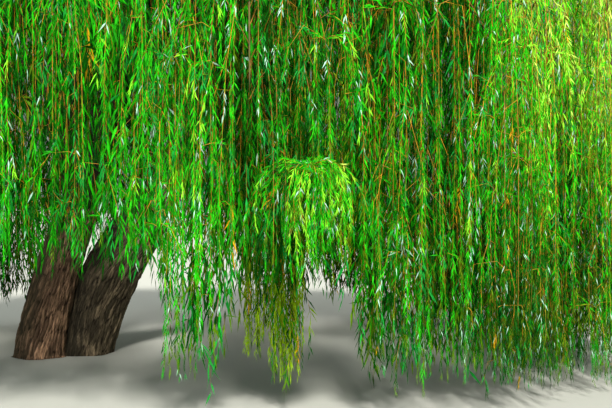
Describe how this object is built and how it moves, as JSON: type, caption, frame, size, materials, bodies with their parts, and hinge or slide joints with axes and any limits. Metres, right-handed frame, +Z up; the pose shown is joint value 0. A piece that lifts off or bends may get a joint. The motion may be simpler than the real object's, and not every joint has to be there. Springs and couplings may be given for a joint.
{
  "type": "weeping willow tree",
  "caption": "Whole weeping willow: a twin trunk on a flared foot, arching boughs, and curtains of narrow leaves that hang to a raised hem round the trunk.",
  "frame": {"origin": "on the flat cut at ground level under the trunk, between the feet of the two stems", "axes": "+Z up along the tree, +X to the right as the picture sees it, +Y away from the viewer"},
  "size_m": [13.9436, 12.4617, 11.2712],
  "materials": {
    "bark": "deeply furrowed grey-brown bark, rough",
    "foliage": "narrow green leaves with pale undersides on orange-yellow twigs, satin"
  },
  "bodies": {
    "root": {"trunk": "bark", "bough_top": "bark", "bough_upper_1": "bark", "bough_upper_2": "bark", "bough_upper_3": "bark", "bough_upper_4": "bark", "bough_upper_5": "bark", "bough_middle_1": "bark", "bough_middle_2": "bark", "bough_middle_3": "bark", "bough_middle_4": "bark", "bough_middle_5": "bark", "bough_middle_6": "bark", "bough_middle_7": "bark", "bough_middle_8": "bark", "bough_middle_9": "bark", "bough_outer_1": "bark", "bough_outer_2": "bark", "bough_outer_3": "bark", "bough_outer_4": "bark", "bough_outer_5": "bark", "bough_outer_6": "bark", "bough_outer_7": "bark", "bough_outer_8": "bark", "bough_outer_9": "bark", "bough_outer_10": "bark", "bough_outer_11": "bark", "bough_outer_12": "bark", "bough_outer_13": "bark", "foliage_top": "foliage", "foliage_upper_1": "foliage", "foliage_upper_2": "foliage", "foliage_upper_3": "foliage", "foliage_upper_4": "foliage", "foliage_upper_5": "foliage", "foliage_middle_1": "foliage", "foliage_middle_2": "foliage", "foliage_middle_3": "foliage", "foliage_middle_4": "foliage", "foliage_middle_5": "foliage", "foliage_middle_6": "foliage", "foliage_middle_7": "foliage", "foliage_middle_8": "foliage", "foliage_middle_9": "foliage", "foliage_outer_1": "foliage", "foliage_outer_2": "foliage", "foliage_outer_3": "foliage", "foliage_outer_4": "foliage", "foliage_outer_5": "foliage", "foliage_outer_6": "foliage", "foliage_outer_7": "foliage", "foliage_outer_8": "foliage", "foliage_outer_9": "foliage", "foliage_outer_10": "foliage", "foliage_outer_11": "foliage", "foliage_outer_12": "foliage", "foliage_outer_13": "foliage"}
  },
  "joints": []
}
